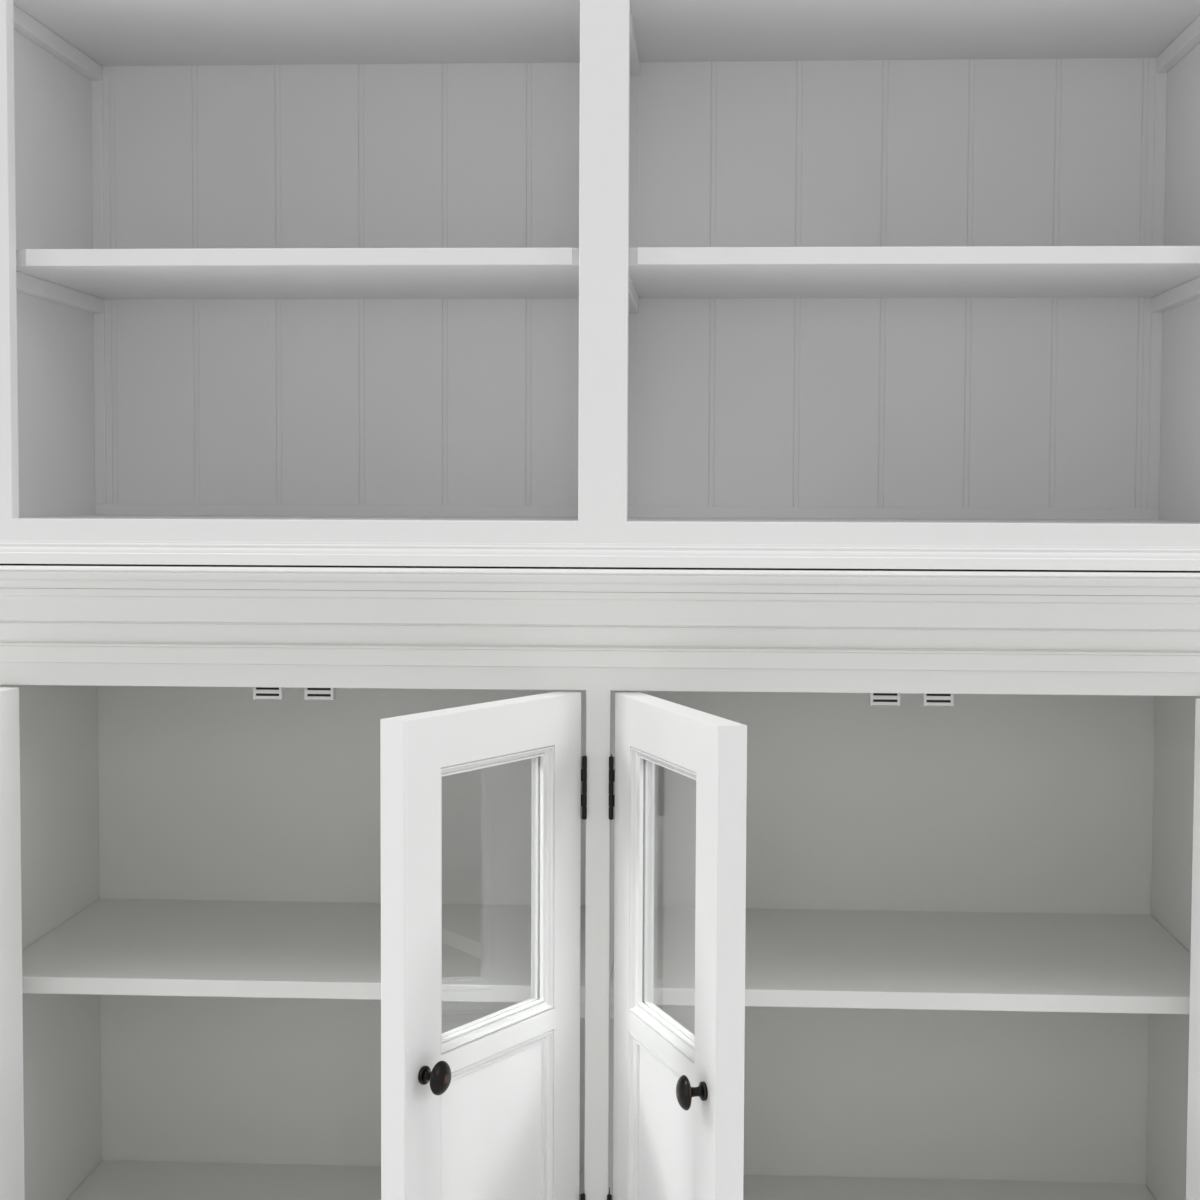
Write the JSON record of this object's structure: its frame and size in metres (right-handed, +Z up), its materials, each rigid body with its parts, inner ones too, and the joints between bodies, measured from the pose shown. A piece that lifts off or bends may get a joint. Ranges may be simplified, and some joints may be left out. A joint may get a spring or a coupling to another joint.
{
  "type": "hutch cabinet",
  "caption": "Painted base cupboard with two pairs of glazed inset doors on butt hinges, under a moulded top that carries an open shelved hutch with a beadboard back.",
  "frame": {"origin": "on the floor, at the middle of the carcass's width and depth, on the divider's lower edge", "axes": "+Z up, +X to the viewer's right seen from the front, +Y towards the wall; the doors open towards -Y"},
  "size_m": [1.427, 0.7616, 1.9],
  "materials": {
    "cabinet_paint": "satin white paint on wood",
    "door_glass": "clear flat pane",
    "knob_bronze": "oil-rubbed dark bronze, worn brown at the centre",
    "hinge_black": "black steel",
    "catch_plastic": "white moulded plastic"
  },
  "bodies": {
    "carcass": {"base_side_left": "cabinet_paint", "base_side_right": "cabinet_paint", "base_divider": "cabinet_paint", "base_floor": "cabinet_paint", "base_subtop": "cabinet_paint", "base_shelf_left": "cabinet_paint", "base_shelf_right": "cabinet_paint", "base_back": "cabinet_paint", "base_face_frame": "cabinet_paint", "base_cornice": "cabinet_paint", "base_top_board": "cabinet_paint", "hutch_side_left": "cabinet_paint", "hutch_side_right": "cabinet_paint", "hutch_divider": "cabinet_paint", "hutch_floor": "cabinet_paint", "hutch_lower_shelf_left": "cabinet_paint", "hutch_lower_shelf_right": "cabinet_paint", "hutch_upper_shelf_left": "cabinet_paint", "hutch_upper_shelf_right": "cabinet_paint", "hutch_beadboard_back": "cabinet_paint", "hutch_face_frame": "cabinet_paint", "hutch_base_moulding": "cabinet_paint", "hutch_crown": "cabinet_paint", "hutch_top_board": "cabinet_paint", "left_inner_catch": "catch_plastic", "left_outer_catch": "catch_plastic", "right_inner_catch": "catch_plastic", "right_outer_catch": "catch_plastic", "left_outer_upper_hinge_frame_leaf": "hinge_black", "left_outer_lower_hinge_frame_leaf": "hinge_black", "left_inner_upper_hinge_frame_leaf": "hinge_black", "left_inner_lower_hinge_frame_leaf": "hinge_black", "right_inner_upper_hinge_frame_leaf": "hinge_black", "right_inner_lower_hinge_frame_leaf": "hinge_black", "right_outer_upper_hinge_frame_leaf": "hinge_black", "right_outer_lower_hinge_frame_leaf": "hinge_black"},
    "left_outer_door": {"left_outer_door_frame": "cabinet_paint", "left_outer_door_glass": "door_glass", "left_outer_door_panel": "cabinet_paint", "left_outer_door_knob": "knob_bronze", "left_outer_upper_hinge_door_leaf": "hinge_black", "left_outer_lower_hinge_door_leaf": "hinge_black"},
    "left_inner_door": {"left_inner_door_frame": "cabinet_paint", "left_inner_door_glass": "door_glass", "left_inner_door_panel": "cabinet_paint", "left_inner_door_knob": "knob_bronze", "left_inner_upper_hinge_door_leaf": "hinge_black", "left_inner_lower_hinge_door_leaf": "hinge_black"},
    "right_inner_door": {"right_inner_door_frame": "cabinet_paint", "right_inner_door_glass": "door_glass", "right_inner_door_panel": "cabinet_paint", "right_inner_door_knob": "knob_bronze", "right_inner_upper_hinge_door_leaf": "hinge_black", "right_inner_lower_hinge_door_leaf": "hinge_black"},
    "right_outer_door": {"right_outer_door_frame": "cabinet_paint", "right_outer_door_glass": "door_glass", "right_outer_door_panel": "cabinet_paint", "right_outer_door_knob": "knob_bronze", "right_outer_upper_hinge_door_leaf": "hinge_black", "right_outer_lower_hinge_door_leaf": "hinge_black"}
  },
  "joints": [
    {"name": "left_outer_door_swing", "type": "hinge", "parent": "carcass", "child": "left_outer_door", "pos_m": [-0.6175, -0.2315, 0.4075], "axis": [0, 0, -1], "range_deg": [-100, 65]},
    {"name": "left_inner_door_swing", "type": "hinge", "parent": "carcass", "child": "left_inner_door", "pos_m": [-0.0135, -0.2315, 0.4075], "axis": [0, 0, 1], "range_deg": [-62.67, 21.33]},
    {"name": "right_inner_door_swing", "type": "hinge", "parent": "carcass", "child": "right_inner_door", "pos_m": [0.0135, -0.2315, 0.4075], "axis": [0, 0, -1], "range_deg": [-70.03, 13.97]},
    {"name": "right_outer_door_swing", "type": "hinge", "parent": "carcass", "child": "right_outer_door", "pos_m": [0.6175, -0.2315, 0.4075], "axis": [0, 0, 1], "range_deg": [-100, 65]}
  ]
}
